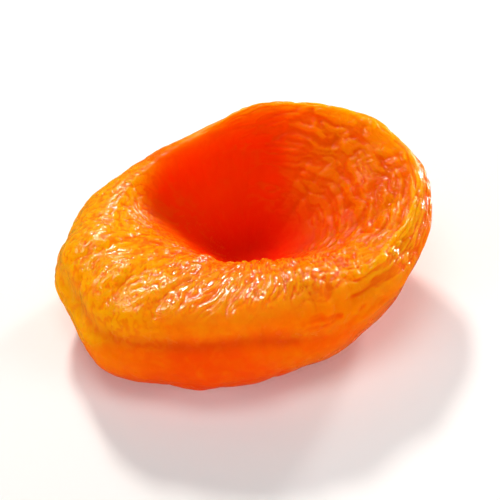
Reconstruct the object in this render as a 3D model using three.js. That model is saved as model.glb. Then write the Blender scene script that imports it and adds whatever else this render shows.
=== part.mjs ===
// A dried apricot, pitted whole and flattened, lying on its underside with the stone hollow upwards.
// Millimetres, +Z up. +X runs along the fruit to its broad thin end, and the pointed tip is at -X.
// The origin is on the surface that the fruit rests on, under the middle of its outline.

import * as THREE from "three";
import { mergeVertices } from "three/addons/utils/BufferGeometryUtils.js";

// Driving dimensions.
const HALF_LENGTH = 20.5; // from the middle of the underside to the broad end
const RIM_HEIGHT = 12; // crest of the fat near side, above the surface
const FLOOR_HEIGHT = 3.6; // flesh left under the stone hollow
const HOLLOW = { x: 0.3, y: 0.4 }; // the hollow's deepest point, from the middle of the underside
const FACETS = 22; // how finely the starting icosahedron's faces are cut

// Round the fruit, every 45 degrees anticlockwise from +X:
// broad end, far right, far side, far left, tip end, near left, near side, near right.
const REACH = [1, 0.835, 0.68, 0.82, 0.976, 0.956, 0.84, 0.9]; // of HALF_LENGTH, at the widest level
const RIM = [1.06, 1.15, 1.08, 0.95, 0.93, 1, 1, 0.96]; // of RIM_HEIGHT, at the crest
const WIDEST = [0.8, 0.77, 0.73, 0.61, 0.565, 0.517, 0.55, 0.74]; // of the crest's height
const ROLL = [2, 2.2, 2.8, 4.6, 6.8, 6.6, 5.4, 3.2]; // from the widest line in to the crest
const MOUTH = [12, 10.4, 8.6, 10, 7.4, 6.8, 7.2, 9.6]; // from the hollow's middle to its mouth
const MOUTH_DROP = [3, 3.2, 3, 2.6, 1.8, 1.6, 1.8, 2.4]; // from the crest down to the mouth

// Where the outline swells beyond that: by how much, at what angle, and over how many degrees.
const TIP = { by: 1.3, at: 169, width: 12 };
const CHEEK = { by: 1.5, at: 198, width: 17 };
const FAR_CHEEK = { by: 0.7, at: 146, width: 13 };

// Where a section's stations lie along its length, from under the fruit to the hollow's floor.
const STATIONS = [0, 0.13, 0.25, 0.36, 0.48, 0.56, 0.635, 0.745, 0.86, 0.95, 1];
const FLAT_SPOT = 0.33; // of the reach, the part of the underside that lies flat

// Where the skin shrank in drying. Depths are in millimetres. A band is [from, to, fade] in shares of
// a section, and a sector is [from, to, fade] in degrees round the fruit.
const LUMPS = { depth: 0.75, size: 8.5, band: [0.28, 0.84, 0.12], calm: [100, 150, 30] };
const BEND = { by: 0.9, size: 6 }; // how far the folds wander, and over what length
const SUTURE = { lip: 0.85, groove: 0.45, share: 0.549, width: 0.058, sector: [182, 270, 28] };
// Folds: crossed counts how closely they lie round the fruit, and along how closely down a section.
// sway is how far the bend carries them each way, and start only picks where their pattern begins.
const PLEATS = {
  depth: 0.62,
  crossed: 5.2,
  along: 4.2,
  sway: [1, 0.7, 0],
  start: [0, 0, 9],
  band: [0.55, 0.86, 0.08],
};
const PLEATS_STRONGEST = [180, 300, 35]; // elsewhere they have a third of their depth
const LIP_WRINKLES = {
  depth: 0.6,
  crossed: 1.5,
  along: 15.5,
  sway: [0.5, 0, 0.8],
  start: [0, 0, 0],
  band: [0.55, 0.76, 0.06],
};
const THIN_LIP = [-80, 72, 30];
const WALL_FOLDS = {
  depth: 0.42,
  crossed: 3.9,
  along: 3.2,
  sway: [0.5, 0, 0],
  start: [4, 0, 0],
  band: [0.3, 0.5, 0.1],
};
const UNDER_FOLDS = {
  depth: 0.7,
  crossed: 4.4,
  along: 3,
  sway: [0, 0.6, 0],
  start: [11, 0, 0],
  band: [0.17, 0.34, 0.07],
};

const RADIANS = Math.PI / 180;
const { clamp, smoothstep, euclideanModulo } = THREE.MathUtils;

// An angle less another in degrees, folded to half a turn either way, in degrees.
function past(angle, at) {
  return (euclideanModulo(angle - at * RADIANS + Math.PI, 2 * Math.PI) - Math.PI) / RADIANS;
}

// A smooth closed curve through values spaced evenly round the fruit.
function around(values, angle) {
  const count = values.length;
  const place = euclideanModulo((angle / (2 * Math.PI)) * count, count);
  const first = Math.floor(place);
  const [a, b, c, d] = [count - 1, 0, 1, 2].map((step) => values[(first + step) % count]);
  const f = place - first;
  return b + 0.5 * f * (c - a + f * (2 * a - 5 * b + 4 * c - d + f * (3 * (b - c) + d - a)));
}

// A smooth swelling of the outline at one angle.
const swelling = (angle, { by, at, width }) => by * Math.exp(-((past(angle, at) / width) ** 2));

// 1 between two angles, fading to 0 beyond them.
function inSector(angle, [from, to, fade]) {
  const half = (to - from) / 2;
  return 1 - smoothstep(Math.abs(past(angle, from + half)), half, half + fade);
}

// 1 between two shares of a section, fading to 0 beyond them.
function inBand(share, [from, to, fade]) {
  return smoothstep(share, from - fade, from) * (1 - smoothstep(share, to, to + fade));
}

// The fruit's outline at its widest level.
function outline(angle) {
  const swellings = swelling(angle, TIP) + swelling(angle, CHEEK) + swelling(angle, FAR_CHEEK);
  return HALF_LENGTH * around(REACH, angle) + swellings;
}

// The stations of the section at an angle, as [reach, height] pairs.
function sectionAt(angle) {
  const reach = outline(angle);
  const crest = RIM_HEIGHT * around(RIM, angle);
  const widest = crest * around(WIDEST, angle);
  const roll = around(ROLL, angle);
  const mouth = around(MOUTH, angle);
  const flare = clamp((widest - 6.2) / 4.2, 0, 1); // 1 where the rim is a thin raised lip
  return [
    [0, 0],
    [FLAT_SPOT * reach, 0],
    [0.62 * reach, 0.45],
    [(0.88 - 0.05 * flare) * reach, 0.36 * widest], // heel
    [reach, widest],
    [reach - 0.34 * roll, widest + 0.7 * (crest - widest)], // shoulder
    [reach - roll, crest],
    [mouth, crest - around(MOUTH_DROP, angle)],
    [0.58 * mouth, FLOOR_HEIGHT + 0.34 * (crest - FLOOR_HEIGHT)],
    [0.24 * mouth, FLOOR_HEIGHT + 0.5],
    [0, FLOOR_HEIGHT],
  ];
}

// The smooth body: a point at an angle, a share of the way along that angle's section.
function body(angle, share) {
  const points = sectionAt(angle);
  const last = points.length - 1;
  // The curve runs on through both ends to the other side of the fruit.
  const point = (n) => {
    if (n < 0) return [-points[1][0], points[1][1]];
    if (n > last) return [-points[last - 1][0], points[last - 1][1]];
    return points[n];
  };
  const place = (n) => {
    if (n < 0) return -STATIONS[1];
    if (n > last) return 2 - STATIONS[last - 1];
    return STATIONS[n];
  };
  let n = 0;
  while (n < last - 1 && share >= STATIONS[n + 1]) n += 1;
  const span = place(n + 1) - place(n);
  const f = (share - place(n)) / span;
  const along = (k) => {
    const slope = (m) => (point(m + 1)[k] - point(m - 1)[k]) / (place(m + 1) - place(m - 1));
    return (
      (2 * f ** 3 - 3 * f ** 2 + 1) * point(n)[k] +
      (f ** 3 - 2 * f ** 2 + f) * span * slope(n) +
      (3 * f ** 2 - 2 * f ** 3) * point(n + 1)[k] +
      (f ** 3 - f ** 2) * span * slope(n + 1)
    );
  };
  const lean = smoothstep(share, 0.5, 0.85); // the sections lean over to the hollow's own middle
  return new THREE.Vector3(
    along(0) * Math.cos(angle) + HOLLOW.x * lean,
    along(0) * Math.sin(angle) + HOLLOW.y * lean,
    along(1),
  );
}

// A repeatable scatter from -1 to 1 for each whole-numbered place.
function scatter(i, j, k, n) {
  const value = Math.sin(i * 127.1 + j * 311.7 + k * 74.7 + n * 19.3) * 43758.5453;
  return 2 * (value - Math.floor(value)) - 1;
}

// Smooth gradient noise, about one bump a unit.
function noise(x, y, z) {
  const cell = [x, y, z].map(Math.floor);
  const part = [x - cell[0], y - cell[1], z - cell[2]];
  const ease = part.map((f) => f ** 3 * (f * (6 * f - 15) + 10));
  let total = 0;
  for (let corner = 0; corner < 8; corner += 1) {
    const step = [corner >> 2, (corner >> 1) & 1, corner & 1];
    const at = step.map((s, k) => cell[k] + s);
    const pull = step.map((s, k) => scatter(...at, k) * (part[k] - s));
    const weight = step.map((s, k) => (s ? ease[k] : 1 - ease[k]));
    total += weight[0] * weight[1] * weight[2] * (pull[0] + pull[1] + pull[2]);
  }
  return 1.4 * total;
}

// Rounded folds between narrow valleys, about zero on average.
function folds({ depth, crossed, along, sway, start, band }, angle, share, bend) {
  const plain = [crossed * Math.cos(angle), crossed * Math.sin(angle), along * share];
  const [x, y, z] = plain.map((value, k) => value + sway[k] * bend + start[k]);
  return depth * (Math.abs(noise(x, y, z)) ** 0.75 - 0.33) * inBand(share, band);
}

// How far the skin stands out from the smooth body at a point of it.
function relief(angle, share, { x, y, z }) {
  const size = LUMPS.size;
  const calm = 1 - 0.5 * inSector(angle, LUMPS.calm);
  const lumps = LUMPS.depth * calm * noise(x / size + 3.1, y / size, z / size) * inBand(share, LUMPS.band);

  // The suture is a lip over a narrow groove, which dips a little towards both ends.
  const beyond = past(angle, 245);
  const dip = 0.015 * smoothstep(-beyond, 0, 40) + 0.035 * smoothstep(beyond, 0, 30);
  const off = (share - SUTURE.share + dip) / SUTURE.width;
  const lip = SUTURE.lip * Math.tanh(off / 0.35) * Math.exp(-((off / 1.6) ** 2));
  const groove = SUTURE.groove * Math.exp(-((off / 0.35) ** 2));
  const suture = (lip - groove) * inSector(angle, SUTURE.sector);

  const bend = BEND.by * noise(x / BEND.size, y / BEND.size + 7.7, z / BEND.size);
  const pleating = 0.35 + 0.65 * inSector(angle, PLEATS_STRONGEST);
  return (
    lumps +
    suture +
    folds(PLEATS, angle, share, bend) * pleating +
    folds(LIP_WRINKLES, angle, share, bend) * inSector(angle, THIN_LIP) +
    folds(WALL_FOLDS, angle, share, bend) +
    folds(UNDER_FOLDS, angle, share, bend)
  );
}

// A point of the finished skin: the body with its relief, flattened where it rests.
function skin(angle, share) {
  const step = 1e-3;
  const round = body(angle + step, share).sub(body(angle - step, share));
  const along = body(angle, Math.min(share + step, 1)).sub(body(angle, Math.max(share - step, 0)));
  const outwards = round.cross(along).normalize();
  const point = body(angle, share);
  point.addScaledVector(outwards, relief(angle, share, point));
  point.z = Math.max(point.z, 0);
  return point;
}

// An even sphere of facets, each corner moved to the place on the skin that its direction names.
function fruitGeometry() {
  const sphere = new THREE.IcosahedronGeometry(1, FACETS);
  sphere.deleteAttribute("normal");
  sphere.deleteAttribute("uv");
  const geometry = mergeVertices(sphere);
  const corners = geometry.getAttribute("position");
  const corner = new THREE.Vector3();
  for (let i = 0; i < corners.count; i += 1) {
    corner.fromBufferAttribute(corners, i).normalize();
    const angle = Math.atan2(corner.y, corner.x);
    const share = Math.acos(-corner.z) / Math.PI;
    corners.setXYZ(i, ...skin(angle, share).toArray());
  }
  geometry.computeBoundingBox();
  const middle = geometry.boundingBox.getCenter(new THREE.Vector3());
  geometry.translate(-middle.x, -middle.y, 0);
  geometry.computeVertexNormals();
  return geometry;
}

const flesh = new THREE.MeshStandardMaterial({ color: 0xf57c10, roughness: 0.38, metalness: 0 });

const apricot = new THREE.Mesh(fruitGeometry(), flesh);
apricot.name = "dried_apricot";

const part = new THREE.Group();
part.add(apricot);

export default part;
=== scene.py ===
# A dried apricot, pitted whole, lying on a pale floor with its stone hollow upwards.
# The frame is in metres, +Z up, with the fruit's pointed tip at -X.
import math

import bpy
import numpy as np
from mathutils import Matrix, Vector


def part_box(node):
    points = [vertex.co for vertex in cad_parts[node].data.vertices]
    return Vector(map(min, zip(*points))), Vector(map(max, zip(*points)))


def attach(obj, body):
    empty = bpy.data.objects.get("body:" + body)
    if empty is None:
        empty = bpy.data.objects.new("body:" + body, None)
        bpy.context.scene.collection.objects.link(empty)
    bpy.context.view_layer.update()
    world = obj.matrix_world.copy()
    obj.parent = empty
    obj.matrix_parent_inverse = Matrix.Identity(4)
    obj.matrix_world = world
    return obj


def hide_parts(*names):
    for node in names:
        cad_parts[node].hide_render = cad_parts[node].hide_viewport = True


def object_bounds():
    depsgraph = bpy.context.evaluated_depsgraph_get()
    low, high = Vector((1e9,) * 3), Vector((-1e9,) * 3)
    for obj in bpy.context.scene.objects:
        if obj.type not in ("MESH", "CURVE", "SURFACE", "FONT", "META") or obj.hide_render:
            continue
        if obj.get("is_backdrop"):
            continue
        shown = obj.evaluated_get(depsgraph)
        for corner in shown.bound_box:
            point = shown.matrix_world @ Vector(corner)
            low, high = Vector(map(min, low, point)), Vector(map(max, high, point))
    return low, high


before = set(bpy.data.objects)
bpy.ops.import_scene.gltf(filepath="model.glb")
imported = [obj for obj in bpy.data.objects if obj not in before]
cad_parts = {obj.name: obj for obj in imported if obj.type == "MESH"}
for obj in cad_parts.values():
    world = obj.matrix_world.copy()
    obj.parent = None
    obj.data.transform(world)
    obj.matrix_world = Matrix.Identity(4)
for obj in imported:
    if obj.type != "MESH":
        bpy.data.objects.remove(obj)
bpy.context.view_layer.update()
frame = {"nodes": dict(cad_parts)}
mm = 0.001
print("frame loaded:", ", ".join(frame["nodes"]))


# small helpers

def addNode(tree, kind, inputs=None, **settings):
    # adds a node, sets its own settings, then fills or links its inputs
    node = tree.nodes.new(kind)
    for name, value in settings.items():
        setattr(node, name, value)
    for place, value in (inputs or {}).items():
        if isinstance(value, bpy.types.Node):
            value = value.outputs[0]
        if isinstance(value, bpy.types.NodeSocket):
            tree.links.new(value, node.inputs[place])
        else:
            node.inputs[place].default_value = value
    return node


def linear(hexColour):
    # an sRGB hex value as the linear colour that shaders take
    parts = [int(hexColour[i:i + 2], 16) / 255 for i in (1, 3, 5)]
    return [p / 12.92 if p <= 0.04045 else ((p + 0.055) / 1.055) ** 2.4 for p in parts] + [1.0]


def smooth(x, low=0.0, high=1.0):
    x = np.clip((x - low) / (high - low), 0, 1)
    return x * x * (3 - 2 * x)


def pastDegrees(angle, at):
    # how far an angle lies past another one in degrees, at most half a turn either way
    return np.degrees((angle - math.radians(at) + np.pi) % (2 * np.pi) - np.pi)


def inSector(angle, start, end, fade):
    # 1 between two angles round the fruit, fading to 0 beyond them
    half = (end - start) / 2
    return 1 - smooth(np.abs(pastDegrees(angle, start + half)), half, half + fade)


def inBand(share, start, end, fade):
    # 1 between two shares of a section, fading to 0 beyond them
    return smooth(share, start - fade, start) * (1 - smooth(share, end, end + fade))


def around(values, angle):
    # a smooth closed curve through values spaced evenly round the fruit
    values = np.asarray(values, float)
    count = len(values)
    place = (angle / (2 * np.pi) * count) % count
    first = np.floor(place).astype(int) % count
    f = place - np.floor(place)
    a, b, c, d = [values[(first + step) % count] for step in (-1, 0, 1, 2)]
    return b + 0.5 * f * (c - a + f * (2 * a - 5 * b + 4 * c - d + f * (3 * (b - c) + d - a)))


# the fruit's form: sections all round, each from under the fruit, over the rim, to the hollow's floor

fruit = {  # millimetres; lists go round the fruit every 45 degrees anticlockwise from +X
    "halfLength": 20.5,
    "rimHeight": 12.0,
    "floorHeight": 3.6,
    "hollow": (0.3, 0.4),  # how far the hollow lies off the middle
    "leanBetween": (0.5, 0.85),  # the shares of a section over which it shifts that far
    "reach": [1, 0.835, 0.68, 0.82, 0.976, 0.956, 0.84, 0.9],
    "rim": [1.06, 1.15, 1.08, 0.95, 0.93, 1, 1, 0.96],
    "widest": [0.8, 0.77, 0.73, 0.61, 0.565, 0.517, 0.55, 0.74],
    "roll": [2, 2.2, 2.8, 4.6, 6.8, 6.6, 5.4, 3.2],
    "mouth": [12, 10.4, 8.6, 10, 7.4, 6.8, 7.2, 9.6],
    "mouthDrop": [3, 3.2, 3, 2.6, 1.8, 1.6, 1.8, 2.4],
    "swellings": [(1.3, 169, 12), (1.5, 198, 17), (0.7, 146, 13)],  # by, at degrees, over degrees
    "flare": (6.2, 10.4),  # widest part's height where the rim is a full roll and where it is thin
    "stations": [0, 0.13, 0.25, 0.36, 0.48, 0.56, 0.635, 0.745, 0.86, 0.95, 1],  # shares of a section
    "flatSpot": 0.33,  # of the reach
    "gridSteps": 128,  # quads along each side of the six patches that cover the fruit
}

wrinkles = {  # large folds, in millimetres; a place is degrees round the fruit and a band is shares
    "lumps": 0.75,
    "lumpSize": 8.5,
    "lumpStart": 3.1,
    "lumpBand": (0.28, 0.84, 0.12),
    "calmPlace": (100, 150, 30),  # half as lumpy here
    "bend": 0.9,
    "bendSize": 6.0,
    "bendStart": 7.7,
    "sutureLip": 0.85,
    "sutureGroove": 0.45,
    "sutureShare": 0.549,
    "sutureWidth": 0.058,
    "sutureMiddle": 245,
    "sutureDips": ((0.015, 40), (0.035, 30)),  # by, over degrees, towards the tip and the broad end
    "sutureStep": 0.35,  # widths of the suture over which its step rises
    "sutureFade": 1.6,  # widths over which the lip fades into the skin
    "suturePlace": (182, 270, 28),
    "rimEdge": 0.22,  # the thin outermost edge of the broad end
    "rimEdgeShare": 0.5,
    "rimEdgeWidth": 0.011,
    "rimEdgePlace": (-62, 30, 25),
}

foldKinds = {
    # depth, how closely they lie round and along, how far they sway, where the pattern starts, band
    "pleats": (0.62, (5.2, 5.2, 4.2), (1, 0.7, 0), (0, 0, 9), (0.55, 0.86, 0.08)),
    "lipWrinkles": (0.6, (1.5, 1.5, 15.5), (0.5, 0, 0.8), (0, 0, 0), (0.55, 0.76, 0.06)),
    "wallFolds": (0.42, (3.9, 3.9, 3.2), (0.5, 0, 0), (4, 0, 0), (0.3, 0.5, 0.1)),
    "underFolds": (0.7, (4.4, 4.4, 3), (0, 0.6, 0), (11, 0, 0), (0.17, 0.34, 0.07)),
}


def scatter(i, j, k, n):
    # the usual hash of a grid point, from -1 to 1
    value = np.sin(i * 127.1 + j * 311.7 + k * 74.7 + n * 19.3) * 43758.5453
    return 2 * (value - np.floor(value)) - 1


def bumps(x, y, z):
    # smooth gradient noise, about one bump a unit
    cell = [np.floor(v) for v in (x, y, z)]
    part = [v - c for v, c in zip((x, y, z), cell)]
    ease = [f ** 3 * (f * (6 * f - 15) + 10) for f in part]
    total = 0
    for step in np.ndindex(2, 2, 2):
        at = [c + s for c, s in zip(cell, step)]
        pull = sum(scatter(*at, k) * (part[k] - step[k]) for k in range(3))
        weight = 1
        for k in range(3):
            weight = weight * (ease[k] if step[k] else 1 - ease[k])
        total = total + weight * pull
    return 1.4 * total  # so that it comes near -1 and 1


def sectionStations(angle):
    reach = fruit["halfLength"] * around(fruit["reach"], angle)
    for by, at, width in fruit["swellings"]:
        reach = reach + by * np.exp(-(pastDegrees(angle, at) / width) ** 2)
    crest = fruit["rimHeight"] * around(fruit["rim"], angle)
    widest = crest * around(fruit["widest"], angle)
    roll = around(fruit["roll"], angle)
    mouth = around(fruit["mouth"], angle)
    floor = fruit["floorHeight"] + 0 * reach
    full, thin = fruit["flare"]
    flare = np.clip((widest - full) / (thin - full), 0, 1)
    return [  # distance from the middle and height
        (0 * reach, 0 * reach),
        (fruit["flatSpot"] * reach, 0 * reach),
        (0.62 * reach, 0.45 + 0 * reach),  # underside
        ((0.88 - 0.05 * flare) * reach, 0.36 * widest),  # foot of the wall
        (reach, widest),
        (reach - 0.34 * roll, widest + 0.7 * (crest - widest)),  # shoulder
        (reach - roll, crest),
        (mouth, crest - around(fruit["mouthDrop"], angle)),
        (0.58 * mouth, floor + 0.34 * (crest - floor)),  # hollow's wall
        (0.24 * mouth, floor + 0.5),  # edge of its floor
        (0 * reach, floor),
    ]


def smoothBody(angle, share):
    # the body without its relief, at an angle and a share of the way along that angle's section
    stations = sectionStations(angle)
    knots = np.array(fruit["stations"])
    knots = np.concatenate([[-knots[1]], knots, [2 - knots[-2]]])
    n = np.clip(np.searchsorted(knots, share, side="right") - 1, 1, len(knots) - 3)
    span = knots[n + 1] - knots[n]
    f = (share - knots[n]) / span
    column = np.arange(len(share))
    along = []  # distance and height, on smooth curves through the stations
    for axis, mirrored in ((0, -1), (1, 1)):
        values = np.stack([s[axis] for s in stations])
        values = np.concatenate([mirrored * values[1:2], values, mirrored * values[-2:-1]])
        slopes = (values[2:] - values[:-2]) / (knots[2:] - knots[:-2])[:, None]
        along.append(
            (2 * f ** 3 - 3 * f ** 2 + 1) * values[n, column]
            + (f ** 3 - 2 * f ** 2 + f) * span * slopes[n - 1, column]
            + (3 * f ** 2 - 2 * f ** 3) * values[n + 1, column]
            + (f ** 3 - f ** 2) * span * slopes[n, column]
        )
    lean = smooth(share, *fruit["leanBetween"])
    x = along[0] * np.cos(angle) + fruit["hollow"][0] * lean
    y = along[0] * np.sin(angle) + fruit["hollow"][1] * lean
    return np.stack([x, y, along[1]], -1)


def sutureOffset(angle, share):
    # how far a point lies inside the suture, in groove widths
    beyond = pastDegrees(angle, wrinkles["sutureMiddle"])
    (tipDip, tipOver), (broadDip, broadOver) = wrinkles["sutureDips"]
    dip = tipDip * smooth(-beyond, 0, tipOver) + broadDip * smooth(beyond, 0, broadOver)
    return (share - wrinkles["sutureShare"] + dip) / wrinkles["sutureWidth"]


def largeRelief(angle, share, point):
    x, y, z = point.T
    size = wrinkles["lumpSize"]
    lumps = bumps(x / size + wrinkles["lumpStart"], y / size, z / size)
    calm = 1 - 0.5 * inSector(angle, *wrinkles["calmPlace"])
    height = wrinkles["lumps"] * calm * lumps * inBand(share, *wrinkles["lumpBand"])
    off = sutureOffset(angle, share)
    step = off / wrinkles["sutureStep"]
    fade = np.exp(-(off / wrinkles["sutureFade"]) ** 2)
    lip = wrinkles["sutureLip"] * np.tanh(step) * fade
    groove = wrinkles["sutureGroove"] * np.exp(-step ** 2)
    height = height + (lip - groove) * inSector(angle, *wrinkles["suturePlace"])
    edge = np.exp(-((share - wrinkles["rimEdgeShare"]) / wrinkles["rimEdgeWidth"]) ** 2)
    height = height + wrinkles["rimEdge"] * (edge * inSector(angle, *wrinkles["rimEdgePlace"]))
    size = wrinkles["bendSize"]
    bend = wrinkles["bend"] * bumps(x / size, y / size + wrinkles["bendStart"], z / size)
    lie = (np.cos(angle), np.sin(angle), share)
    strength = {  # pleats are deepest on the near side, and lip wrinkles lie on the thin rim alone
        "pleats": 0.35 + 0.65 * inSector(angle, 180, 300, 35),
        "lipWrinkles": inSector(angle, -80, 72, 30),
    }
    for kind, (depth, close, sway, start, band) in foldKinds.items():
        at = [lie[k] * close[k] + sway[k] * bend + start[k] for k in range(3)]
        ridges = np.abs(bumps(*at)) ** 0.75 - 0.33  # rounded, with narrow valleys between them
        height = height + depth * ridges * inBand(share, *band) * strength.get(kind, 1)
    return height


def skinPoints(angle, share):
    # the body with its relief, which stands square to it, and nothing below the floor
    step = 1e-3  # short enough to give the body's slopes
    point = smoothBody(angle, share)
    sideways = smoothBody(angle + step, share) - smoothBody(angle - step, share)
    before, after = np.maximum(share - step, 0), np.minimum(share + step, 1)
    along = smoothBody(angle, after) - smoothBody(angle, before)
    outwards = np.cross(sideways, along)
    outwards /= np.maximum(np.linalg.norm(outwards, axis=1, keepdims=True), 1e-12)
    point = point + outwards * largeRelief(angle, share, point)[:, None]
    point[:, 2] = np.maximum(point[:, 2], 0)
    return point


def patchedSphere(steps):
    # unit directions and quads of a sphere in six square patches, even all over and with no poles
    side = np.tan(np.linspace(-np.pi / 4, np.pi / 4, steps + 1))
    u, v = np.meshgrid(side, side, indexing="ij")
    one = np.ones_like(u)
    patches = [(one, u, v), (-one, v, u), (v, one, u), (u, -one, v), (u, v, one), (v, u, -one)]
    points = np.concatenate([np.stack(p, -1).reshape(-1, 3) for p in patches])
    points /= np.linalg.norm(points, axis=1, keepdims=True)
    i, j = np.meshgrid(np.arange(steps), np.arange(steps), indexing="ij")
    corner = (i * (steps + 1) + j).ravel()
    quad = np.stack([corner, corner + steps + 1, corner + steps + 2, corner + 1], -1)
    quads = np.concatenate([quad + n * (steps + 1) ** 2 for n in range(6)])
    _, first, merged = np.unique(np.round(points, 7), axis=0, return_index=True, return_inverse=True)
    return points[first], merged.ravel()[quads]


def lookMasks(angle, share):
    # where each fine crease and each colour lies, from 0 to 1; sectors are start, end and fade in
    # degrees, and bands are the same in shares of a section
    tipSide = inSector(angle, 135, 200, 30)
    nearSide = inSector(angle, 205, 325, 30)
    broadSide = inSector(angle, -85, 10, 45)
    farSide = inSector(angle, 60, 120, 45)
    # redder below the suture: sharply at the suture and gradually elsewhere
    unseamed = 1 - inSector(angle, 208, 240, 40)
    off = sutureOffset(angle, share)
    below = smooth((-off - 1.8 * unseamed) / (0.45 + 2.4 * unseamed))
    below = below * (0.5 + 0.5 * smooth(-off, 0.5, 4.5))
    # the hollow's painted red shade starts deeper on the roll than on the far side, and slowly at the
    # broad end
    mouthAt = 0.57 + 0.06 * broadSide + 0.17 * inSector(angle, 150, 285, 35)
    mouthAt = mouthAt - 0.05 * farSide - 0.07 * inSector(angle, 145, 190, 25)
    reddens = 0.21 + 0.12 * broadSide - 0.04 * inSector(angle, 205, 285, 30)
    inside = smooth((share - mouthAt) / reddens)
    pebbled = inBand(share, 0.56, 0.74, 0.08) * (0.12 + 0.88 * tipSide)
    return {
        "pleats": inBand(share, 0.62, 0.74, 0.05) * (0.1 + 0.9 * inSector(angle, 200, 300, 25)),
        "lip": inBand(share, 0.53, 0.7, 0.05) * inSector(angle, -75, 60, 30),
        "wall": 0.4 * inBand(share, 0.2, 0.5, 0.07) * (1 - 0.6 * nearSide),
        "arcs": inBand(share, 0.66, 0.84, 0.07) * inSector(angle, -60, 40, 30),
        "rays": inBand(share, 0.7, 0.95, 0.07) * (1 - 0.85 * inSector(angle, -60, 100, 40)),
        "pebbles": (0.05 + 0.95 * pebbled) * (1 - 0.9 * inside),
        # painted shade: the deep red of light bouncing inside the hollow; the same mask also makes it
        # smoother and less glossy
        "hollow": inside,
        # painted shade on the hollow's right inner wall
        "paintedRightWallShade": inBand(share, 0.67, 0.86, 0.07) * inSector(angle, -78, 15, 35),
        # painted shade, the darkest red, on the hollow's floor, which is also rougher
        "deep": smooth(share, 0.8, 0.95),
        # painted glow where light shines through the thin rim and tip, and a painted highlight along
        # the near roll's crest
        "thin": np.maximum.reduce([
            inBand(share, 0.5, 0.62, 0.05) * inSector(angle, -50, 90, 30),
            0.93 * inBand(share, 0.4, 0.64, 0.12) * tipSide,
            0.5 * inBand(share, 0.59, 0.68, 0.05) * inSector(angle, 150, 330, 30),
        ]),
        "wallTone": (1 - smooth(share, 0.5, 0.62)) * (1 - tipSide * smooth(share, 0.4, 0.48)),
        "low": below,
        # painted shadow under the suture's lip
        "paintedSeamShadow": np.exp(-((off + 0.12) / 0.24) ** 2) * inSector(angle, 208, 255, 30),
        "film": np.maximum.reduce([
            inBand(share, 0.6, 0.73, 0.05) * inSector(angle, 215, 275, 25),
            inBand(share, 0.46, 0.585, 0.04) * inSector(angle, -50, 45, 25),
            0.3 * inBand(share, 0.54, 0.68, 0.08) * tipSide,
        ]) * (1 - inside),
    }


def skinMesh():
    directions, quads = patchedSphere(fruit["gridSteps"])
    angle = np.arctan2(directions[:, 1], directions[:, 0])
    share = np.arccos(np.clip(-directions[:, 2], -1, 1)) / np.pi
    points = skinPoints(angle, share)
    low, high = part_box("dried_apricot")
    middle = (points.min(0) + points.max(0)) / 2
    points = points * mm
    points[:, 0] += (low.x + high.x) / 2 - middle[0] * mm
    points[:, 1] += (low.y + high.y) / 2 - middle[1] * mm
    mesh = bpy.data.meshes.new("apricotSkin")
    mesh.from_pydata(points.tolist(), [], quads.tolist())
    mesh.attributes.new("lie", "FLOAT_VECTOR", "POINT")
    lie = np.stack([np.cos(angle), np.sin(angle), share], -1)
    mesh.attributes["lie"].data.foreach_set("vector", lie.astype(np.float32).ravel())
    for name, values in lookMasks(angle, share).items():
        mesh.attributes.new(name, "FLOAT", "POINT")
        mesh.attributes[name].data.foreach_set("value", values.astype(np.float32))
    mesh.shade_smooth()
    return mesh


# fine creases: each kind is stretched noise whose valleys are pressed into the skin

creaseKinds = {  # depth in mm, closeness round and along, slant in radians for each share, sway, seed
    "pleats": (0.19, (15.0, 15.0, 13.0), -2.4, 3.0, 2.0),
    "lip": (0.2, (2.6, 2.6, 42.0), 0.0, 1.6, 6.3),
    "wall": (0.25, (4.6, 4.6, 22.0), 0.0, 2.2, 21.0),
    "arcs": (0.11, (2.4, 2.4, 52.0), 0.0, 1.8, 14.0),
    "rays": (0.05, (14.0, 14.0, 5.0), 0.4, 3.0, 8.0),
}
pebbles = {"depth": 0.09, "size": 1.15, "seed": 11.0}  # mm
creaseShape = {
    "slantFrom": 0.63,  # the share of a section at its crest
    "swayScale": 260.0,  # bends a metre, so one every 4 mm
    "detail": 1.5,
    "roughness": 0.45,
    "valley": 0.1,  # how far from its middle value the noise leaves a valley
    "level": 0.6,  # how much of a crease's depth lies below the skin's own level
}


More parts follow.
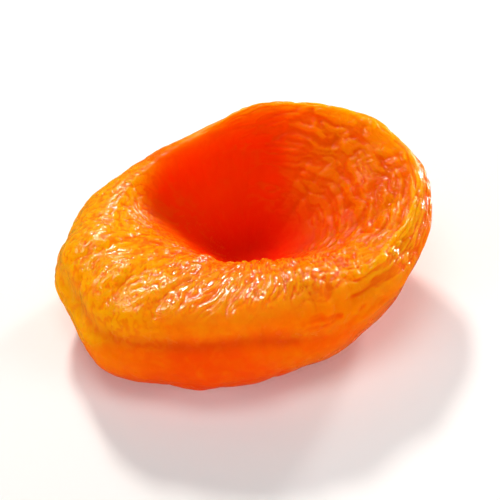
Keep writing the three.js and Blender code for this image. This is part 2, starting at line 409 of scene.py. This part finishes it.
def creaseTree():
    tree = bpy.data.node_groups.new("skinCreases", "GeometryNodeTree")
    face = tree.interface
    face.new_socket("Geometry", in_out="INPUT", socket_type="NodeSocketGeometry")
    face.new_socket("Geometry", in_out="OUTPUT", socket_type="NodeSocketGeometry")
    wanted = {"Skin": ("NodeSocketMaterial", None)}
    for name, (depth, close, slant, sway, seed) in creaseKinds.items():
        wanted[name + " depth"] = ("NodeSocketFloat", depth * mm)
        wanted[name + " closeness"] = ("NodeSocketVector", close)
        wanted[name + " slant"] = ("NodeSocketFloat", slant)
        wanted[name + " sway"] = ("NodeSocketFloat", sway)
        wanted[name + " seed"] = ("NodeSocketFloat", seed)
    wanted["pebble depth"] = ("NodeSocketFloat", pebbles["depth"] * mm)
    wanted["pebble size"] = ("NodeSocketFloat", pebbles["size"] * mm)
    wanted["pebble seed"] = ("NodeSocketFloat", pebbles["seed"])
    for name, (kind, _) in wanted.items():
        face.new_socket(name, in_out="INPUT", socket_type=kind)
    given = addNode(tree, "NodeGroupInput").outputs
    lie = addNode(tree, "GeometryNodeInputNamedAttribute", {"Name": "lie"}, data_type="FLOAT_VECTOR")
    share = addNode(tree, "ShaderNodeSeparateXYZ", {0: lie}).outputs["Z"]
    pastCrest = addNode(tree, "ShaderNodeMath", {0: share, 1: creaseShape["slantFrom"]},
                        operation="SUBTRACT")
    place = addNode(tree, "GeometryNodeInputPosition")
    wander = addNode(tree, "ShaderNodeTexNoise",
                     {"Vector": place, "Scale": creaseShape["swayScale"], "Detail": 1.0})
    wander = addNode(tree, "ShaderNodeVectorMath", {0: wander.outputs["Color"], 1: (0.5, 0.5, 0.5)},
                     operation="SUBTRACT")

    def pressed(at, seed, depth, mask):
        # valleys at the noise's middle value, rounded ridges between them
        noise = addNode(tree, "ShaderNodeTexNoise",
                        {"Vector": at, "W": seed, "Scale": 1.0,
                         "Detail": creaseShape["detail"], "Roughness": creaseShape["roughness"]},
                        noise_dimensions="4D")
        far = addNode(tree, "ShaderNodeMath", {0: noise, 1: 0.5}, operation="SUBTRACT")
        far = addNode(tree, "ShaderNodeMath", {0: far}, operation="ABSOLUTE")
        far = addNode(tree, "ShaderNodeMapRange", {"Value": far, "From Max": creaseShape["valley"]},
                      interpolation_type="SMOOTHERSTEP")
        ridge = addNode(tree, "ShaderNodeMath", {0: far, 1: creaseShape["level"]}, operation="SUBTRACT")
        masked = addNode(tree, "GeometryNodeInputNamedAttribute", {"Name": mask}, data_type="FLOAT")
        ridge = addNode(tree, "ShaderNodeMath", {0: ridge, 1: masked}, operation="MULTIPLY")
        return ridge, addNode(tree, "ShaderNodeMath", {0: ridge, 1: depth}, operation="MULTIPLY")

    ridges, heights = [], []
    for name in creaseKinds:
        turned = addNode(tree, "ShaderNodeMath", {0: pastCrest, 1: given[name + " slant"]},
                         operation="MULTIPLY")
        at = addNode(tree, "ShaderNodeVectorRotate", {"Vector": lie, "Angle": turned},
                     rotation_type="Z_AXIS")
        at = addNode(tree, "ShaderNodeVectorMath", {0: at, 1: given[name + " closeness"]},
                     operation="MULTIPLY")
        swayed = addNode(tree, "ShaderNodeVectorMath", {0: wander, "Scale": given[name + " sway"]},
                         operation="SCALE")
        at = addNode(tree, "ShaderNodeVectorMath", {0: at, 1: swayed}, operation="ADD")
        ridge, height = pressed(at, given[name + " seed"], given[name + " depth"], name)
        ridges.append(ridge)
        heights.append(height)
    size = addNode(tree, "ShaderNodeCombineXYZ", {k: given["pebble size"] for k in range(3)})
    at = addNode(tree, "ShaderNodeVectorMath", {0: place, 1: size}, operation="DIVIDE")
    ridge, height = pressed(at, given["pebble seed"], given["pebble depth"], "pebbles")
    ridges.append(ridge)
    heights.append(height)
    for values in (ridges, heights):
        while len(values) > 1:
            pair = {0: values.pop(), 1: values.pop()}
            values.append(addNode(tree, "ShaderNodeMath", pair, operation="ADD"))

    normal = addNode(tree, "GeometryNodeInputNormal")
    push = addNode(tree, "ShaderNodeVectorMath", {0: normal, "Scale": heights[0]}, operation="SCALE")
    moved = addNode(tree, "GeometryNodeSetPosition", {"Geometry": given["Geometry"], "Offset": push})
    marked = addNode(tree, "GeometryNodeStoreNamedAttribute",
                     {"Geometry": moved, "Name": "crease", "Value": ridges[0]},
                     data_type="FLOAT", domain="POINT")
    real = addNode(tree, "GeometryNodeRealizeInstances", {0: marked})
    dressed = addNode(tree, "GeometryNodeSetMaterial", {"Geometry": real, "Material": given["Skin"]})
    addNode(tree, "NodeGroupOutput", {"Geometry": dressed})
    return tree, {name: value for name, (_, value) in wanted.items()}


# apricot skin and flesh, dried soft: moist and translucent, so light soaks in and the creases glow
# red, under a thin sugary film that glints on every small ridge

skinLook = {
    "flesh": "#fe7400",
    "stains": {  # colour and strength of each layer laid on the flesh in this order, several of them painted light and shade
        # painted glow of light through the thin rim and tip, and a painted highlight on the near crest
        "thin": ("#ffac00", 0.85),
        "wallTone": ("#fb5600", 0.55),
        "low": ("#f43000", 0.95),
        # painted shadow under the suture's lip
        "paintedSeamShadow": ("#d83400", 0.6),
        # painted shade: the deep red of light bouncing inside the hollow
        "hollow": ("#f32800", 0.96),
        # painted shade on the hollow's right inner wall
        "paintedRightWallShade": ("#c43a00", 0.32),
        # painted shade deepest in the hollow
        "deep": ("#ea1a00", 0.95),
    },
    "clouds": {  # colour, noise values where it starts and where it is full, strength
        "redder": ("#f46a00", 0.52, 0.72, 0.5),
        "yellower": ("#ffac00", 0.48, 0.3, 0.4),
    },
    "cloudSize": 3.1,  # mm
    # painted shade in the crease valleys, and below it a painted highlight on the ridges
    "valley": ("#ea4c00", 0.5, -0.6),  # colour, strength, and how far down the crease is full
    "ridge": ("#ffa000", 0.26, 0.4),  # the same for its ridges
    "gloss": "#ffe5da",
    "filmGloss": (0.14, 0.7),  # specular level of the bare skin and of the film
    "hollowGloss": 0.15,  # the share of it that is left in the hollow
    "roughness": (0.16, 0.32),  # of the smoothest and the roughest patches
    "patchScale": 700.0,  # patches a metre, so one every 1.4 mm
    "rougher": {"low": 0.2, "hollow": 0.2, "deep": 0.2, "film": -0.06},
    "refraction": 1.45,  # of sugary fruit flesh
    "soak": 0.9,
    "soakColours": (1.0, 0.28, 0.08),  # red travels furthest
    "soakDepth": 2.4,  # mm that red light travels in the flesh
    "grainSize": 0.42,  # mm between the finest creases, which are only shaded
    "grainDepth": 0.35,  # mm
    "grainStrength": (0.38, 0.1),  # outside and inside the hollow
}


def skinMaterial():
    material = bpy.data.materials.new("moistDriedFruitSkin")
    material.use_nodes = True
    tree = material.node_tree
    tree.nodes.clear()
    place = addNode(tree, "ShaderNodeTexCoord").outputs["Object"]
    attributes = {}
    for name in [*skinLook["stains"], "film", "crease"]:
        attributes[name] = addNode(tree, "ShaderNodeAttribute", attribute_name=name).outputs["Fac"]

    layers = []
    scale = 1 / (skinLook["cloudSize"] * mm)
    clouds = addNode(tree, "ShaderNodeTexNoise",
                     {"Vector": place, "Scale": scale, "Detail": 3.0, "Roughness": 0.6})
    for hexColour, low, high, strength in skinLook["clouds"].values():
        factor = addNode(tree, "ShaderNodeMapRange",
                         {"Value": clouds, "From Min": low, "From Max": high, "To Max": strength})
        layers.append((factor, hexColour))
    for name, (hexColour, strength) in skinLook["stains"].items():
        factor = addNode(tree, "ShaderNodeMath", {0: attributes[name], 1: strength},
                         operation="MULTIPLY")
        layers.append((factor, hexColour))
    # painted shade darkens and reddens the crease valleys, and outside the hollow a painted highlight
    # makes the ridges paler
    bare = addNode(tree, "ShaderNodeMath", {0: 1.0, 1: attributes["hollow"]}, operation="SUBTRACT")
    for name, where in (("valley", 1.0), ("ridge", bare)):
        hexColour, strength, full = skinLook[name]
        factor = addNode(tree, "ShaderNodeMapRange",
                         {"Value": attributes["crease"], "From Min": 0.0, "From Max": full,
                          "To Max": strength})
        factor = addNode(tree, "ShaderNodeMath", {0: factor, 1: where}, operation="MULTIPLY")
        layers.append((factor, hexColour))
    colour = linear(skinLook["flesh"])
    for factor, hexColour in layers:
        mix = addNode(tree, "ShaderNodeMix", {0: factor, 6: colour, 7: linear(hexColour)},
                      data_type="RGBA")
        colour = mix.outputs[2]

    # the finest creases, softer in the hollow
    scale = 0.5 / (skinLook["grainSize"] * mm)
    grain = addNode(tree, "ShaderNodeTexNoise", {"Vector": place, "Scale": scale, "Detail": 1.0,
                                                 "Roughness": 0.5, "Distortion": 0.6})
    grain = addNode(tree, "ShaderNodeMath", {0: grain, 1: 0.5}, operation="SUBTRACT")
    grain = addNode(tree, "ShaderNodeMath", {0: grain}, operation="ABSOLUTE")
    outside, within = skinLook["grainStrength"]
    crisp = addNode(tree, "ShaderNodeMapRange",
                    {"Value": attributes["hollow"], "To Min": outside, "To Max": within})
    bump = addNode(tree, "ShaderNodeBump",
                   {"Height": grain, "Strength": crisp, "Distance": skinLook["grainDepth"] * mm})

    patches = addNode(tree, "ShaderNodeTexNoise",
                      {"Vector": place, "Scale": skinLook["patchScale"], "Detail": 2.0})
    smoothest, roughest = skinLook["roughness"]
    # 0.3 to 0.7 is where nearly all of the noise lies
    rough = addNode(tree, "ShaderNodeMapRange",
                    {"Value": patches, "From Min": 0.3, "From Max": 0.7,
                     "To Min": smoothest, "To Max": roughest})
    for name, more in skinLook["rougher"].items():
        rough = addNode(tree, "ShaderNodeMath", {0: attributes[name], 1: more, 2: rough},
                        operation="MULTIPLY_ADD")
    # the film lies on the crests and the rim, and hardly any reaches into the hollow
    bareGloss, filmGloss = skinLook["filmGloss"]
    gloss = addNode(tree, "ShaderNodeMapRange",
                    {"Value": attributes["film"], "To Min": bareGloss, "To Max": filmGloss})
    matt = addNode(tree, "ShaderNodeMapRange",
                   {"Value": attributes["hollow"], "To Min": 1.0, "To Max": skinLook["hollowGloss"]})
    gloss = addNode(tree, "ShaderNodeMath", {0: gloss, 1: matt}, operation="MULTIPLY")
    shader = addNode(tree, "ShaderNodeBsdfPrincipled", {
        "Base Color": colour,
        "Roughness": rough,
        "Normal": bump,
        "IOR": skinLook["refraction"],
        "Specular IOR Level": gloss,
        "Specular Tint": linear(skinLook["gloss"]),
        "Subsurface Weight": skinLook["soak"],
        "Subsurface Radius": skinLook["soakColours"],
        "Subsurface Scale": skinLook["soakDepth"] * mm,
    })
    addNode(tree, "ShaderNodeOutputMaterial", {"Surface": shader})
    return material


def makeApricot():
    apricot = bpy.data.objects.new("apricot_flesh", skinMesh())
    bpy.context.scene.collection.objects.link(apricot)
    material = skinMaterial()
    tree, values = creaseTree()
    creases = apricot.modifiers.new("skinCreases", "NODES")
    creases.node_group = tree
    values["Skin"] = material
    for socket in tree.interface.items_tree:
        if socket.in_out == "INPUT" and socket.name in values:
            creases[socket.identifier] = values[socket.name]
    # the tree's result becomes the plain mesh
    bpy.context.view_layer.update()
    evaluated = apricot.evaluated_get(bpy.context.evaluated_depsgraph_get())
    finished = bpy.data.meshes.new_from_object(evaluated)
    apricot.modifiers.remove(creases)
    apricot.data = finished
    # the creases reach nowhere below the floor
    corners = np.empty(len(finished.vertices) * 3, np.float32)
    finished.vertices.foreach_get("co", corners)
    corners = corners.reshape(-1, 3)
    corners[:, 2] = np.maximum(corners[:, 2], 0)
    finished.vertices.foreach_set("co", corners.ravel())
    finished.shade_smooth()
    finished.update()
    return apricot


apricot = makeApricot()
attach(apricot, "root")
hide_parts("dried_apricot")
print("apricot made:", len(apricot.data.polygons), "faces")


# floor, light and camera

studio = {
    "floor": "#fbfaf8",
    "floorSize": 6.0,  # metres
    "floorRoughness": 0.6,
    "world": "#f4f6fa",
    "worldStrength": 0.1,
    "azimuth": -25,
    "elevation": 45,
    "lens": 180,
    "fill": 0.78,  # of the picture's width
    "nearest": 0.01,  # metres from the camera
}

# the broad lights only fill, so the skin keeps its depth of colour, and the small ones only glint
lights = [  # name, azimuth, elevation, distance and size in metres, watts, colour, glints, fills
    ("backSoftbox", 172, 40, 0.40, 0.06, 1.05, "#fffaf2", False, True),
    ("backGlint", 168, 38, 0.40, 0.05, 0.95, "#fffaf8", True, False),
    ("leftGlint", 205, 52, 0.40, 0.05, 0.4, "#fffaf8", True, False),
    ("rightSoftbox", 122, 22, 0.45, 0.07, 0.78, "#ffffff", False, True),
    ("rightGlint", 112, 14, 0.45, 0.12, 1.6, "#fffaf8", True, False),
    ("topSoftbox", -60, 80, 0.50, 0.30, 0.6, "#ffffff", False, True),
    ("leftFill", -80, 20, 0.60, 0.40, 1.75, "#ffffff", False, True),
    ("rightFill", 40, 16, 0.60, 0.40, 2.1, "#ffffff", False, True),
]


def towards(azimuth, elevation):
    # the direction of a light or the camera; azimuth 0 is in front of the near side
    a, e = math.radians(azimuth), math.radians(elevation)
    return Vector((math.sin(a) * math.cos(e), -math.cos(a) * math.cos(e), math.sin(e)))


def makeFloor():
    half = studio["floorSize"] / 2
    corners = [(-half, -half, 0), (half, -half, 0), (half, half, 0), (-half, half, 0)]
    mesh = bpy.data.meshes.new("floor")
    mesh.from_pydata(corners, [], [(0, 1, 2, 3)])
    floor = bpy.data.objects.new("floor", mesh)
    bpy.context.scene.collection.objects.link(floor)
    material = bpy.data.materials.new("paintedBoard")
    material.use_nodes = True
    shader = material.node_tree.nodes["Principled BSDF"]
    shader.inputs["Base Color"].default_value = linear(studio["floor"])
    shader.inputs["Roughness"].default_value = studio["floorRoughness"]
    mesh.materials.append(material)
    floor.visible_glossy = False  # a white floor mirrored in the skin would wash its colour out
    floor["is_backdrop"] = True


def addLight(name, azimuth, elevation, distance, size, power, colour, glints, fills):
    back = towards(azimuth, elevation)
    data = bpy.data.lights.new(name, "AREA")
    data.shape = "DISK"
    data.size = size
    data.energy = power
    data.color = linear(colour)[:3]
    light = bpy.data.objects.new(name, data)
    light.visible_glossy = glints
    light.visible_diffuse = fills
    light.location = back * distance
    light.rotation_euler = (-back).to_track_quat("-Z", "Y").to_euler()
    bpy.context.scene.collection.objects.link(light)


def makeCamera():
    low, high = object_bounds()
    middle = (low + high) / 2
    back = towards(studio["azimuth"], studio["elevation"])
    data = bpy.data.cameras.new("camera")
    data.lens = studio["lens"]
    camera = bpy.data.objects.new("camera", data)
    width = (high.x - low.x) / studio["fill"]
    distance = width / data.sensor_width * data.lens
    camera.location = middle + back * distance
    camera.rotation_euler = (-back).to_track_quat("-Z", "Y").to_euler()
    data.clip_start = studio["nearest"]
    bpy.context.scene.collection.objects.link(camera)
    bpy.context.scene.camera = camera


makeFloor()
for light in lights:
    addLight(*light)
makeCamera()

world = bpy.data.worlds.new("studio")
world.use_nodes = True
background = world.node_tree.nodes["Background"]
background.inputs["Color"].default_value = linear(studio["world"])
background.inputs["Strength"].default_value = studio["worldStrength"]
bpy.context.scene.world = world
bpy.context.scene.view_settings.view_transform = "Standard"
print("studio set")
